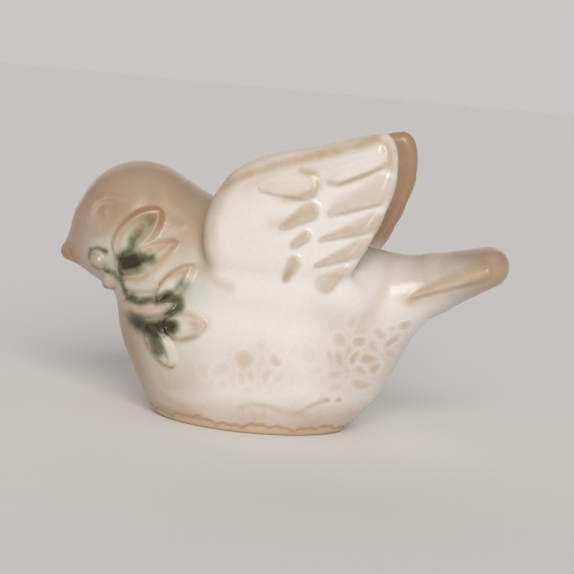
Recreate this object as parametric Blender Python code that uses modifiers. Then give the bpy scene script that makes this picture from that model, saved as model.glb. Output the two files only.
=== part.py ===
"""A small glazed stoneware dove with raised wings and a leafy sprig at its throat.

The dove is one piece of fired clay. It is roughed out from spheres, cones and two cut-out wings,
remeshed into one skin, and then pressed onto a form that is worked out from the proportions below.
Metres, +Z up, the tail towards +X, the origin in the middle of the flat foot.
"""
import bpy
import bmesh
import numpy as np
from mathutils import Matrix, Vector

# Driving size: beak tip to tail tip
LENGTH = 0.077

# Fineness of the skin
ROUGH_VOXEL = 0.0009
SKIN_VOXEL = 0.00045
TRIANGLES = 9200
MERGE_DISTANCE = 0.0001
FOOT_SNAP = 0.0002

# The figure's proportions, in figure units of about a millimetre: (x, y, z) and radii
HEAD_CENTRE = (-22.5, 0.0, 31.0)
HEAD_RADII = (10.3, 10.2, 10.5)
BEAK_ROOT = (-29.2, 0.0, 27.7)
BEAK_TIP = (-34.8, 0.0, 25.4)
BEAK_RADII = (4.4, 1.5)
BEAK_WIDENING = 0.9
NECK_END = (-4.0, 0.0, 21.8)
NECK_RADII = (10.8, 12.0)
BREAST_CENTRE = (-13.6, 0.0, 19.0)
BREAST_RADII = (10.4, 12.6, 10.8)
BODY_CENTRE = (0.1, 0.0, 14.5)
BODY_RADII = (22.7, 15.2, 17.6)
BODY_DEPTH = 18.8
FOOT_CENTRE = (-1.3, 0.0, 6.0)
FOOT_RADII = (17.3, 14.8, 13.0)
THIGH_CENTRE = (14.6, 7.6, 23.2)
THIGH_RADII = (6.0, 6.0, 5.6)
RUMP_START = (12.0, 0.0, 20.3)
TAIL_START = (28.0, 0.0, 26.5)
TAIL_END = (37.3, 0.0, 30.4)
RUMP_RADII = (11.2, 5.1)
TAIL_RADII = (5.1, 3.5)
TAIL_WIDENING = (1.0, 1.35, 1.9)
BEAK_BLEND = 5.5
FOOT_BLEND = 3.5
BREAST_BLEND = 6.0
NECK_BLEND = 4.0
HEAD_BLEND = 2.5
TAIL_BLEND = 1.0
RUMP_BLEND = 8.0
THIGH_BLEND = 2.5
WING_BLEND = (2.0, 7.0)
WING_BLEND_LEVELS = (29.0, 22.0)
FIGURE_LENGTH = TAIL_END[0] + TAIL_RADII[1] - (BEAK_TIP[0] - BEAK_RADII[1])
UNIT = LENGTH / FIGURE_LENGTH

# The wing seen from the side, as (x, z), from its front foot over the tip and back
WING_OUTLINE = [
    (-3.6, 22.5), (-7.2, 27.2), (-8.4, 32.0), (-7.6, 37.4), (-4.2, 43.0),
    (1.8, 46.2), (10.0, 48.4), (17.4, 50.7), (20.4, 50.9), (22.1, 48.2),
    (22.3, 43.0), (20.6, 37.0), (17.6, 30.4), (13.5, 23.5), (5.0, 19.0),
]

# The wing thins from the front rim to the feather ends, and its outer face leans out and sinks in below
WING_ROOT = (-2.0, 32.0)
WING_ACROSS = (0.61, -0.79)
WING_HALF_THICKNESS = (1.3, 2.5)
WING_HALF_AT_FRONT = 2.3
WING_FRONT = -8.0
WING_TAPER = 0.07
WING_FACE = 14.9
WING_LEAN = 0.03
WING_SINK = 0.045
WING_SINK_LEVEL = 30.0
WING_SHOULDER = (2.0, 32.0)
WING_SHOULDER_SIZE = 9.5
WING_SHOULDER_SWELL = 0.9
WING_SHOULDER_HALF = 0.7
WING_RIM_HEIGHT = 0.5
WING_RIM_INSET = 2.9
WING_RIM_WIDTH = 1.15
WING_EDGE_FADE = 0.75
WING_RIM_LOWER_END = (29.0, 33.0)
WING_RIM_REAR_END = (4.0, 1.0)
WING_CARVING_FOOT = (22.0, 25.5)
FACE_EDGE = 0.6
WING_BLANK_PLANE = 13.3
WING_BLANK_HALF = 1.4

# Feathers on the wing's outer face: start and end (x, z), half widths there, height of the lower edge
FEATHERS = [
    ((12.4, 43.5), (19.4, 47.6), 1.5, 2.2, 0.65),
    ((12.6, 37.9), (20.4, 42.4), 0.7, 2.4, 0.7),
    ((11.4, 33.4), (19.8, 37.0), 0.4, 1.7, 0.7),
    ((11.0, 29.2), (18.2, 32.8), 0.4, 1.7, 0.7),
    ((12.6, 26.2), (15.6, 28.9), 1.8, 0.8, 0.6),
    ((1.5, 41.1), (7.8, 41.6), 1.2, 2.3, 0.6),
    ((5.0, 34.8), (9.1, 37.7), 0.6, 1.6, 0.75),
    ((7.0, 32.0), (8.7, 33.6), 0.7, 1.0, 0.7),
    ((6.1, 26.4), (7.3, 29.2), 0.7, 1.15, 0.7),
]
TAIL_FEATHERS = [
    ((26.2, 25.2), (36.6, 30.3), 0.5, 1.8, 0.45),
]

# Grooves and ridges on both sides: the points as (x, z), half width, height
HEAD_LINES = [
    ([(-29.0, 31.9), (-29.0, 33.4), (-28.4, 34.9), (-26.6, 36.0), (-24.6, 36.3), (-22.6, 35.6)], 0.5, 0.3),
    ([(-27.6, 32.4), (-27.7, 33.8), (-26.8, 34.9), (-25.4, 35.3), (-23.8, 34.8)], 0.4, -0.2),
    ([(-34.5, 26.4), (-34.2, 25.2), (-33.4, 24.3), (-31.8, 23.5)], 0.4, -0.4),
    ([(-28.2, 29.6), (-26.2, 30.1), (-24.8, 31.0), (-24.0, 31.9)], 0.6, 0.15),
    ([(-17.6, 38.2), (-14.0, 34.8), (-11.2, 32.4)], 1.2, 0.12),
]
TAIL_LINES = [
    ([(28.0, 30.0), (33.0, 31.6), (38.5, 32.8)], 0.9, -0.15),
    ([(34.0, 27.2), (37.0, 28.2), (40.0, 29.4)], 0.8, -0.15),
]
EYE = (-26.1, 33.6)
EYE_DOT = (0.5, 0.24)
EYE_RING = (1.3, 0.5, 0.08)

# Leaves of the sprig, on the near side only: base and tip (x, z), half width, height, roundness of the ends,
# how far the middle is dished
LEAVES = [
    ((-23.4, 26.6), (-16.7, 35.0), 3.0, 1.1, 0.45, 0.45),
    ((-22.8, 23.9), (-13.0, 30.0), 2.1, 1.05, 0.55, 0.4),
    ((-22.6, 21.6), (-14.2, 22.6), 1.5, 0.6, 0.6, 0.0),
    ((-14.9, 19.8), (-9.6, 26.6), 2.2, 0.95, 0.5, 0.5),
    ((-21.8, 18.1), (-11.8, 19.3), 1.8, 1.2, 0.35, 0.0),
    ((-13.4, 16.2), (-6.2, 17.2), 2.4, 1.0, 0.45, 0.35),
    ((-16.6, 16.0), (-11.3, 9.6), 2.3, 0.95, 0.5, 0.4),
]
LEAF_RIM = 0.9
STEM = [(-23.8, 27.4), (-22.9, 23.0), (-21.6, 20.6), (-18.6, 17.4), (-15.4, 15.8)]
STEM_SIZE = (0.6, 0.4)
BERRIES = [((-27.0, 25.2), (1.6, 1.6, 1.7)), ((-25.6, 21.7), (1.3, 1.3, 1.7))]
BERRY_BLEND = 0.4

GLAZE_COLOUR = (0.80, 0.76, 0.72, 1.0)
GLAZE_ROUGHNESS = 0.18


def ease(start, end, value):
    """A smooth step from 0 at start to 1 at end."""
    t = np.clip((value - start) / (end - start), 0.0, 1.0)
    return t * t * (3.0 - 2.0 * t)


def join(a, b, blend):
    """Union of two distances with a fillet of the given size."""
    h = np.clip(0.5 + 0.5 * (b - a) / blend, 0.0, 1.0)
    return b + (a - b) * h - blend * h * (1.0 - h)


def ball(p, centre, radii):
    """Distance to an ellipsoid."""
    radii = np.array(radii)
    q = (p - np.array(centre)) / radii
    reach = np.linalg.norm(q, axis=1)
    slope = np.linalg.norm(q / radii, axis=1)
    return reach * (reach - 1.0) / np.maximum(slope, 1e-6)


def limb(p, start, end, radii, widening=(1.0, 1.0)):
    """Distance to a round-ended taper that may grow wider than it is deep."""
    start, end = np.array(start), np.array(end)
    axis = end - start
    t = np.clip(((p - start) @ axis) / (axis @ axis), 0.0, 1.0)
    q = p - start - t[:, None] * axis
    q[:, 1] /= widening[0] + (widening[1] - widening[0]) * t
    return np.linalg.norm(q, axis=1) - (radii[0] + (radii[1] - radii[0]) * t)


def cone(p, start, end, radii, widening):
    """Distance to a cone whose side runs on smoothly into its round tip."""
    start, end = np.array(start), np.array(end)
    length = np.linalg.norm(end - start)
    axis = (end - start) / length
    q = p - start
    along = q @ axis
    q = q - along[:, None] * axis
    q[:, 1] /= widening
    out = np.linalg.norm(q, axis=1)
    fall = (radii[0] - radii[1]) / length
    t = np.clip((along - out * fall / np.sqrt(1.0 - fall**2)) / length, 0.0, 1.0)
    return np.hypot(along - t * length, out) - (radii[0] + (radii[1] - radii[0]) * t)


def rounded_outline(points, steps=4):
    """A closed smooth curve through the points."""
    count = len(points)
    curve = []
    for i in range(count):
        before, here, after, beyond = (np.array(points[(i + k) % count]) for k in (-1, 0, 1, 2))
        for t in np.arange(steps) / steps:
            curve.append(0.5 * (2 * here + (after - before) * t
                                + (2 * before - 5 * here + 4 * after - beyond) * t**2
                                + (3 * here - before - 3 * after + beyond) * t**3))
    return np.array(curve)


WING_CURVE = rounded_outline(WING_OUTLINE)


def outline_distance(x, z, curve):
    """Signed distance in the side view to a closed curve, below zero inside it."""
    nearest = np.full(len(x), np.inf)
    inside = np.zeros(len(x), bool)
    for a, b in zip(curve, np.roll(curve, -1, axis=0)):
        edge = b - a
        t = np.clip(((x - a[0]) * edge[0] + (z - a[1]) * edge[1]) / (edge @ edge), 0.0, 1.0)
        nearest = np.minimum(nearest, (x - a[0] - t * edge[0])**2 + (z - a[1] - t * edge[1])**2)
        if a[1] != b[1]:
            crosses = (a[1] > z) != (b[1] > z)
            inside ^= crosses & (x < edge[0] * (z - a[1]) / edge[1] + a[0])
    nearest = np.sqrt(nearest)
    return np.where(inside, -nearest, nearest)


def wing_terms(p):
    """For each point: distance to the wing's outline, half thickness and place of the outer face."""
    x, z = p[:, 0], p[:, 2]
    outline = np.full(len(p), 6.0)
    near = (np.abs(p[:, 1]) > 7.0) & (z > 15.0) & (x > -13.0) & (x < 27.0)
    outline[near] = outline_distance(x[near], z[near], WING_CURVE)
    across = (x - WING_ROOT[0]) * WING_ACROSS[0] + (z - WING_ROOT[1]) * WING_ACROSS[1]
    shoulder = np.exp(-((x - WING_SHOULDER[0])**2 + (z - WING_SHOULDER[1])**2) / WING_SHOULDER_SIZE**2)
    half = np.clip(WING_HALF_AT_FRONT - WING_TAPER * (across - WING_FRONT), *WING_HALF_THICKNESS)
    half = half + WING_SHOULDER_HALF * shoulder
    above = z - WING_SINK_LEVEL
    face = WING_FACE + WING_LEAN * above - WING_SINK * np.minimum(above, 0.0)**2
    face = face + WING_SHOULDER_SWELL * shoulder
    return outline, half, face, across


def wing(p):
    """Distance to the two wings, upright round-edged plates that sink into the flanks below."""
    outline, half, face, _ = wing_terms(p)
    u = outline + half
    v = np.abs(np.abs(p[:, 1]) - (face - half))
    return np.minimum(np.maximum(u, v), 0.0) + np.hypot(np.maximum(u, 0.0), v) - half


def belly(p):
    """Distance to the body, deeper below its middle than above."""
    q = p.copy()
    below = p[:, 2] < BODY_CENTRE[2]
    q[below, 2] = BODY_CENTRE[2] + (p[below, 2] - BODY_CENTRE[2]) * BODY_RADII[2] / BODY_DEPTH
    return ball(q, BODY_CENTRE, BODY_RADII)


def smooth_form(p):
    """Distance to the dove without its carving, open to below the foot."""
    beak = cone(p, BEAK_ROOT, BEAK_TIP, BEAK_RADII, BEAK_WIDENING)
    head = join(ball(p, HEAD_CENTRE, HEAD_RADII), beak, BEAK_BLEND)
    neck = limb(p, HEAD_CENTRE, NECK_END, NECK_RADII)
    rump = limb(p, RUMP_START, TAIL_START, RUMP_RADII, TAIL_WIDENING[:2])
    tail = limb(p, TAIL_START, TAIL_END, TAIL_RADII, TAIL_WIDENING[1:])
    form = join(belly(p), ball(p, FOOT_CENTRE, FOOT_RADII), FOOT_BLEND)
    form = join(form, ball(p, BREAST_CENTRE, BREAST_RADII), BREAST_BLEND)
    form = join(form, neck, NECK_BLEND)
    form = join(form, head, HEAD_BLEND)
    form = join(form, join(rump, tail, TAIL_BLEND), RUMP_BLEND)
    one_side = np.column_stack([p[:, 0], np.abs(p[:, 1]), p[:, 2]])
    form = join(form, ball(one_side, THIGH_CENTRE, THIGH_RADII), THIGH_BLEND)
    lower = ease(*WING_BLEND_LEVELS, p[:, 2])
    return join(form, wing(p), WING_BLEND[0] + (WING_BLEND[1] - WING_BLEND[0]) * lower)


def feather(p, start, end, start_half, end_half, height):
    """Height of one feather, which rises to its lower edge and drops off there."""
    start, end = np.array(start), np.array(end)
    length = np.linalg.norm(end - start)
    direction = (end - start) / length
    q = p[:, [0, 2]] - start
    along = q @ direction
    lower = q[:, 0] * direction[1] - q[:, 1] * direction[0]
    t = np.clip(along / length, 0.0, 1.0)
    half = start_half + (end_half - start_half) * t
    edge = np.hypot(along - t * length, lower) - half
    ramp = 0.15 + 0.85 * ease(-1.1, 0.5, lower / half)
    return height * ramp * ease(0.45, -0.5, edge) * ease(-0.5, 0.25, along / length)


def line_relief(p, points, half_width, height):
    """Height of a ridge, or depth of a groove, that follows the points and fades at both ends."""
    q = p[:, [0, 2]]
    points = np.array(points)
    count = len(points) - 1
    nearest = np.full(len(p), np.inf)
    along = np.zeros(len(p))
    for i in range(count):
        edge = points[i + 1] - points[i]
        t = np.clip(((q - points[i]) @ edge) / (edge @ edge), 0.0, 1.0)
        gap = np.linalg.norm(q - points[i] - t[:, None] * edge, axis=1)
        along = np.where(gap < nearest, (i + t) / count, along)
        nearest = np.minimum(nearest, gap)
    return height * np.exp(-(nearest / half_width)**2) * ease(0.0, 0.2, along) * ease(1.0, 0.8, along)


def wing_carving(p):
    """Feathers and the raised front rim, on the outer faces only."""
    outline, half, face, across = wing_terms(p)
    height = np.max([feather(p, *row) for row in FEATHERS], axis=0)
    height = height * (1.0 - WING_EDGE_FADE * ease(-1.8, -0.6, outline))
    rim = WING_RIM_HEIGHT * np.exp(-((outline + WING_RIM_INSET) / WING_RIM_WIDTH)**2)
    rim = rim * ease(*WING_RIM_REAR_END, across) * ease(*WING_RIM_LOWER_END, p[:, 2])
    outer = ease(-FACE_EDGE, FACE_EDGE, np.abs(p[:, 1]) - (face - half))
    return np.maximum(height, rim) * outer * ease(*WING_CARVING_FOOT, p[:, 2])


def head_carving(p):
    """Eyes, lids, the line of the beak and the creases of cheek and nape."""
    reach = np.hypot(p[:, 0] - EYE[0], p[:, 2] - EYE[1])
    ring, ring_width, ring_depth = EYE_RING
    height = EYE_DOT[1] * np.exp(-(reach / EYE_DOT[0])**2)
    height -= ring_depth * np.exp(-((reach - ring) / ring_width)**2)
    height += np.sum([line_relief(p, *row) for row in HEAD_LINES], axis=0)
    return height * ease(1.0, 3.0, np.abs(p[:, 1]))


def tail_carving(p):
    """The feathers along the tail and the grooves above them."""
    height = np.max([feather(p, *row) for row in TAIL_FEATHERS], axis=0)
    height = height + np.sum([line_relief(p, *row) for row in TAIL_LINES], axis=0)
    return height * ease(2.0, 4.0, np.abs(p[:, 1]))


def point_on_near_side(x, z):
    """The point of the smooth form's near side at a place in the side view."""
    outside, inside = -26.0, 0.0
    for _ in range(30):
        middle = 0.5 * (outside + inside)
        if smooth_form(np.array([[x, middle, z]]))[0] > 0.0:
            outside = middle
        else:
            inside = middle
    return np.array([x, inside, z])


def slope(form, p, step=0.02):
    """The form's value and gradient at each point."""
    value = form(p)
    gradient = np.stack([form(p + offset) - value for offset in np.eye(3) * step], axis=1) / step
    return value, gradient


def leaf_axes(base, tip):
    """A leaf's base point, its middle, and its directions along, across and out of the surface."""
    start = point_on_near_side(*base)
    end = point_on_near_side(*tip)
    middle = point_on_near_side(0.5 * (base[0] + tip[0]), 0.5 * (base[1] + tip[1]))
    out = slope(smooth_form, middle[None])[1][0]
    out /= np.linalg.norm(out)
    across = np.cross(out, end - start)
    return start, middle, end - start, across / np.linalg.norm(across), out


LEAF_AXES = [leaf_axes(base, tip) for base, tip, *_ in LEAVES]
BERRY_CENTRES = [point_on_near_side(*place) for place, _ in BERRIES]


def leaf(p, axes, half_width, height, roundness, dish):
    """Height of one leaf: a pad that is dished inside its rim."""
    start, middle, along, across, out = axes
    t = ((p - start) @ along) / (along @ along)
    side = (p - start) @ across
    half = half_width * np.sin(np.pi * np.clip(t, 0.0, 1.0)**0.85)**roundness
    inset = half - np.abs(side)
    near = (np.abs((p - middle) @ out) < 6.0) & (t > 0.0) & (t < 1.0)
    hollow = dish * ease(LEAF_RIM - 0.1, LEAF_RIM + 1.1, inset) * ease(0.97, 0.7, t)
    return height * ease(-0.4, LEAF_RIM, inset) * near * (1.0 - hollow)


def sprig_carving(p):
    """Leaves and stem on the near side of throat and breast."""
    height = line_relief(p, STEM, *STEM_SIZE)
    for row, axes in zip(LEAVES, LEAF_AXES):
        height = np.maximum(height, leaf(p, axes, *row[2:]))
    return height * ease(1.0, -2.0, p[:, 1])


def carved_form(p):
    """Distance to the finished dove, still open to below the foot."""
    form = smooth_form(p) - wing_carving(p) - head_carving(p) - tail_carving(p) - sprig_carving(p)
    for centre, (_, radii) in zip(BERRY_CENTRES, BERRIES):
        form = join(form, ball(p, centre, radii), BERRY_BLEND)
    return form


def clear_scene():
    """Remove every object of the scene."""
    for item in list(bpy.data.objects):
        bpy.data.objects.remove(item, do_unlink=True)


def add_ball(mesh, centre, radii):
    """Add an ellipsoid to the rough mesh."""
    matrix = Matrix.Translation(Vector(centre) * UNIT) @ Matrix.Diagonal([*(Vector(radii) * UNIT), 1.0])
    bmesh.ops.create_uvsphere(mesh, u_segments=32, v_segments=16, radius=1.0, matrix=matrix)


def add_limb(mesh, start, end, radii, widening=(1.0, 1.0)):
    """Add a cone between two ends, with an ellipsoid at each end, to the rough mesh."""
    start, end = Vector(start), Vector(end)
    wide = 0.5 * (widening[0] + widening[1])
    turn = (end - start).to_track_quat("Z", "Y").to_matrix().to_4x4()
    middle = Matrix.Translation((start + end) * 0.5 * UNIT)
    matrix = middle @ Matrix.Diagonal([1.0, wide, 1.0, 1.0]) @ turn
    bmesh.ops.create_cone(mesh, cap_ends=True, segments=32, radius1=radii[0] * UNIT, radius2=radii[1] * UNIT,
                          depth=(end - start).length * UNIT, matrix=matrix)
    add_ball(mesh, start, (radii[0], radii[0] * widening[0], radii[0]))
    add_ball(mesh, end, (radii[1], radii[1] * widening[1], radii[1]))


def add_wing(mesh, side):
    """Add a flat cut-out wing to the rough mesh, on the side of -1 or 1."""
    curve = bpy.data.curves.new("wing_outline", "CURVE")
    curve.dimensions = "2D"
    curve.fill_mode = "BOTH"
    curve.extrude = WING_BLANK_HALF * UNIT
    spline = curve.splines.new("POLY")
    spline.points.add(len(WING_CURVE) - 1)
    spline.use_cyclic_u = True
    for point, (x, z) in zip(spline.points, WING_CURVE * UNIT):
        point.co = (x, z, 0.0, 1.0)
    outline = bpy.data.objects.new("wing_outline", curve)
    bpy.context.collection.objects.link(outline)
    bpy.context.view_layer.update()
    plate = bpy.data.meshes.new_from_object(outline.evaluated_get(bpy.context.evaluated_depsgraph_get()))
    middle = Matrix.Translation((0.0, WING_BLANK_PLANE * side * UNIT, 0.0))
    plate.transform(middle @ Matrix.Rotation(np.pi / 2, 4, "X"))
    mesh.from_mesh(plate)
    bmesh.ops.remove_doubles(mesh, verts=mesh.verts, dist=1e-6)
    bpy.data.objects.remove(outline, do_unlink=True)
    bpy.data.meshes.remove(plate)


def rough_mesh():
    """The dove roughed out from overlapping plain shapes."""
    mesh = bmesh.new()
    for side in (-1, 1):
        add_wing(mesh, side)
    add_ball(mesh, HEAD_CENTRE, HEAD_RADII)
    add_ball(mesh, BREAST_CENTRE, BREAST_RADII)
    add_ball(mesh, BODY_CENTRE, BODY_RADII)
    add_ball(mesh, FOOT_CENTRE, FOOT_RADII)
    for side in (-1, 1):
        add_ball(mesh, (THIGH_CENTRE[0], side * THIGH_CENTRE[1], THIGH_CENTRE[2]), THIGH_RADII)
    add_limb(mesh, BEAK_ROOT, BEAK_TIP, BEAK_RADII, (BEAK_WIDENING, BEAK_WIDENING))
    add_limb(mesh, HEAD_CENTRE, NECK_END, NECK_RADII)
    add_limb(mesh, RUMP_START, TAIL_START, RUMP_RADII, TAIL_WIDENING[:2])
    add_limb(mesh, TAIL_START, TAIL_END, TAIL_RADII, TAIL_WIDENING[1:])
    data = bpy.data.meshes.new("dove")
    mesh.to_mesh(data)
    mesh.free()
    return data


def apply_modifiers(dove):
    """Replace the object's mesh by its evaluated one."""
    bpy.context.view_layer.update()
    result = bpy.data.meshes.new_from_object(dove.evaluated_get(bpy.context.evaluated_depsgraph_get()))
    old = dove.data
    dove.modifiers.clear()
    dove.data = result
    bpy.data.meshes.remove(old)


def remesh(dove, voxel):
    """Give the dove one even skin."""
    modifier = dove.modifiers.new("skin", "REMESH")
    modifier.mode = "VOXEL"
    modifier.voxel_size = voxel
    apply_modifiers(dove)


def press_onto(dove, form, rounds=3):
    """Move each vertex onto the form, with the skin evened out between the moves."""
    mesh = dove.data
    points = np.empty(len(mesh.vertices) * 3, np.float32)
    mesh.vertices.foreach_get("co", points)
    points = points.reshape(-1, 3).astype(float) / UNIT
    edges = np.empty(len(mesh.edges) * 2, np.int32)
    mesh.edges.foreach_get("vertices", edges)
    edges = edges.reshape(-1, 2)
    neighbours = np.bincount(edges.ravel(), minlength=len(points))[:, None]
    for _ in range(rounds):
        total = np.zeros_like(points)
        np.add.at(total, edges[:, 0], points[edges[:, 1]])
        np.add.at(total, edges[:, 1], points[edges[:, 0]])
        points += 0.5 * (total / neighbours - points)
        for _ in range(2):
            value, gradient = slope(form, points)
            steepness = np.maximum((gradient**2).sum(axis=1), 0.25)
            move = -np.clip(value, -1.5, 1.5) / steepness
            points += move[:, None] * gradient
    mesh.vertices.foreach_set("co", (points * UNIT).astype(np.float32).ravel())
    mesh.update()


def thin_out(dove, triangles):
    """Keep the given number of triangles, most of them where the form turns."""
    count = sum(len(face.vertices) - 2 for face in dove.data.polygons)
    modifier = dove.modifiers.new("thin_out", "DECIMATE")
    modifier.ratio = triangles / count
    modifier.use_collapse_triangulate = True
    apply_modifiers(dove)


def cut_foot(dove):
    """Cut the dove off flat at the foot and close the cut with a flat base."""
    mesh = bmesh.new()
    mesh.from_mesh(dove.data)
    for vertex in mesh.verts:
        if abs(vertex.co.z) < FOOT_SNAP:
            vertex.co.z = 0.0
    geometry = mesh.verts[:] + mesh.edges[:] + mesh.faces[:]
    bmesh.ops.bisect_plane(mesh, geom=geometry, plane_co=(0, 0, 0), plane_no=(0, 0, -1),
                           clear_outer=True)
    bmesh.ops.remove_doubles(mesh, verts=mesh.verts, dist=MERGE_DISTANCE)
    bmesh.ops.dissolve_degenerate(mesh, edges=mesh.edges, dist=0.5 * MERGE_DISTANCE)
    bmesh.ops.triangulate(mesh, faces=mesh.faces)
    open_edges = [edge for edge in mesh.edges if edge.is_boundary]
    base = bmesh.ops.contextual_create(mesh, geom=open_edges)["faces"]
    bmesh.ops.poke(mesh, faces=base)
    bmesh.ops.recalc_face_normals(mesh, faces=mesh.faces)
    mesh.to_mesh(dove.data)
    mesh.free()


def glaze_material():
    """The white glaze of the fired clay."""
    material = bpy.data.materials.new("white_glaze")
    material.use_nodes = True
    shader = material.node_tree.nodes["Principled BSDF"]
    shader.inputs["Base Color"].default_value = GLAZE_COLOUR
    shader.inputs["Roughness"].default_value = GLAZE_ROUGHNESS
    shader.inputs["Metallic"].default_value = 0.0
    return material


def build_dove():
    """Model the dove as one closed solid in its own collection."""
    clear_scene()
    collection = bpy.data.collections.new("dove_statue")
    bpy.context.scene.collection.children.link(collection)
    dove = bpy.data.objects.new("dove", rough_mesh())
    collection.objects.link(dove)
    remesh(dove, ROUGH_VOXEL)
    press_onto(dove, smooth_form)
    remesh(dove, SKIN_VOXEL)
    press_onto(dove, carved_form)
    thin_out(dove, TRIANGLES)
    cut_foot(dove)
    dove.data.materials.append(glaze_material())
    dove.data.shade_smooth()
    dove.data.set_sharp_from_angle(angle=np.radians(50))
    return dove


build_dove()
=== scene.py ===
import bpy
import numpy as np
from mathutils import Matrix, Vector


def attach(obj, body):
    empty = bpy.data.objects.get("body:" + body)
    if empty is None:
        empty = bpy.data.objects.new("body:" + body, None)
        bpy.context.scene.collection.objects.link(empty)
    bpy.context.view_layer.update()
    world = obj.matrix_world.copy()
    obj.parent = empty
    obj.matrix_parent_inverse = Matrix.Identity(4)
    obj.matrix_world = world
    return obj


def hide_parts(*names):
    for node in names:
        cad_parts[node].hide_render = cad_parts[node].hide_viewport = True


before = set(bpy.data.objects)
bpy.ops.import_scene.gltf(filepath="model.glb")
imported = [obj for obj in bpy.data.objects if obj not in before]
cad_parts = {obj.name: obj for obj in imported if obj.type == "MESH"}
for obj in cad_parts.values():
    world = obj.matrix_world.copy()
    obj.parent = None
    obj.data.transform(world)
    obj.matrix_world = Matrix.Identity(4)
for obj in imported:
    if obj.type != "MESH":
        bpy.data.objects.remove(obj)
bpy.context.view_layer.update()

# Fineness of the skin in metres, and the limits of one move onto the form
SKIN_VOXEL = 0.00037
MOST_MOVE = 1.0
LEAST_STEEPNESS = 0.25

# The figure's proportions, in figure units of about a millimetre: (x, y, z) and radii
LENGTH = 0.077
HEAD_CENTRE = (-22.5, 0.0, 31.0)
HEAD_RADII = (10.3, 10.2, 10.5)
BEAK_ROOT = (-29.2, 0.0, 27.7)
BEAK_TIP = (-34.8, 0.0, 25.4)
BEAK_RADII = (4.4, 1.5)
BEAK_WIDENING = 0.9
NECK_END = (-4.0, 0.0, 21.8)
NECK_RADII = (10.8, 12.0)
BREAST_CENTRE = (-13.6, 0.0, 19.0)
BREAST_RADII = (10.4, 12.6, 10.8)
BODY_CENTRE = (0.1, 0.0, 14.5)
BODY_RADII = (22.7, 15.2, 17.6)
BODY_DEPTH = 18.8
FOOT_CENTRE = (-1.3, 0.0, 6.0)
FOOT_RADII = (17.3, 14.8, 13.0)
THIGH_CENTRE = (14.6, 7.6, 23.2)
THIGH_RADII = (6.0, 6.0, 5.6)
RUMP_START = (12.0, 0.0, 20.3)
TAIL_START = (28.0, 0.0, 26.5)
TAIL_END = (37.3, 0.0, 30.4)
RUMP_RADII = (11.2, 5.1)
TAIL_RADII = (5.1, 3.5)
TAIL_WIDENING = (1.0, 1.35, 1.9)
BEAK_BLEND = 5.5
FOOT_BLEND = 3.5
BREAST_BLEND = 6.0
NECK_BLEND = 4.0
HEAD_BLEND = 2.5
TAIL_BLEND = 1.0
RUMP_BLEND = 8.0
THIGH_BLEND = 2.5
WING_BLEND = (2.0, 7.0)
WING_BLEND_LEVELS = (29.0, 22.0)
RIM_ROUNDING = 0.7
FIGURE_LENGTH = TAIL_END[0] + TAIL_RADII[1] - (BEAK_TIP[0] - BEAK_RADII[1])
UNIT = LENGTH / FIGURE_LENGTH

# The wing seen from the side, as (x, z), from its front foot over the tip and back
WING_OUTLINE = [
    (-3.6, 22.5), (-7.2, 27.2), (-8.4, 32.0), (-7.6, 37.4), (-4.2, 43.0),
    (1.8, 46.2), (10.0, 48.4), (17.4, 50.7), (20.4, 50.9), (22.1, 48.2),
    (22.3, 43.0), (20.6, 37.0), (17.6, 30.4), (13.5, 23.5), (5.0, 19.0),
]

# The wing thins from the front rim to the feather ends, and its outer face leans out and sinks in below
WING_ROOT = (-2.0, 32.0)
WING_ACROSS = (0.61, -0.79)
WING_HALF_THICKNESS = (1.3, 2.5)
WING_HALF_AT_FRONT = 2.3
WING_FRONT = -8.0
WING_TAPER = 0.07
WING_FACE = 14.9
WING_LEAN = 0.03
WING_SINK = 0.045
WING_SINK_LEVEL = 30.0
WING_SHOULDER = (2.0, 32.0)
WING_SHOULDER_SIZE = 9.5
WING_SHOULDER_SWELL = 0.9
WING_SHOULDER_HALF = 0.7
WING_RIM_HEIGHT = 0.5
WING_RIM_INSET = 2.9
WING_RIM_WIDTH = 1.15
WING_EDGE_FADE = 0.75
WING_RIM_LOWER_END = (29.0, 33.0)
WING_RIM_REAR_END = (4.0, 1.0)
WING_CARVING_FOOT = (22.0, 25.5)
FACE_EDGE = 0.6

# Feathers on the wing's outer face: start and end (x, z), half widths there, height of the lower edge,
# thinness of the glaze on them
FEATHERS = [
    ((12.4, 43.5), (19.4, 47.6), 1.5, 2.2, 0.65, 0.1),
    ((12.6, 37.9), (20.4, 42.4), 0.7, 2.4, 0.7, 0.5),
    ((11.4, 33.4), (19.8, 37.0), 0.4, 1.7, 0.7, 0.75),
    ((11.0, 29.2), (18.2, 32.8), 0.4, 1.7, 0.7, 0.72),
    ((12.6, 26.2), (15.6, 28.9), 1.8, 0.8, 0.6, 0.65),
    ((1.5, 41.1), (7.8, 41.6), 1.2, 2.3, 0.6, 0.38),
    ((5.0, 34.8), (9.1, 37.7), 0.6, 1.6, 0.75, 0.8),
    ((7.0, 32.0), (8.7, 33.6), 0.7, 1.0, 0.7, 0.8),
    ((6.1, 26.4), (7.3, 29.2), 0.7, 1.15, 0.7, 0.85),
]
TAIL_FEATHERS = [
    ((26.2, 25.2), (36.6, 30.3), 0.5, 1.8, 0.45, 0.4),
]

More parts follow.
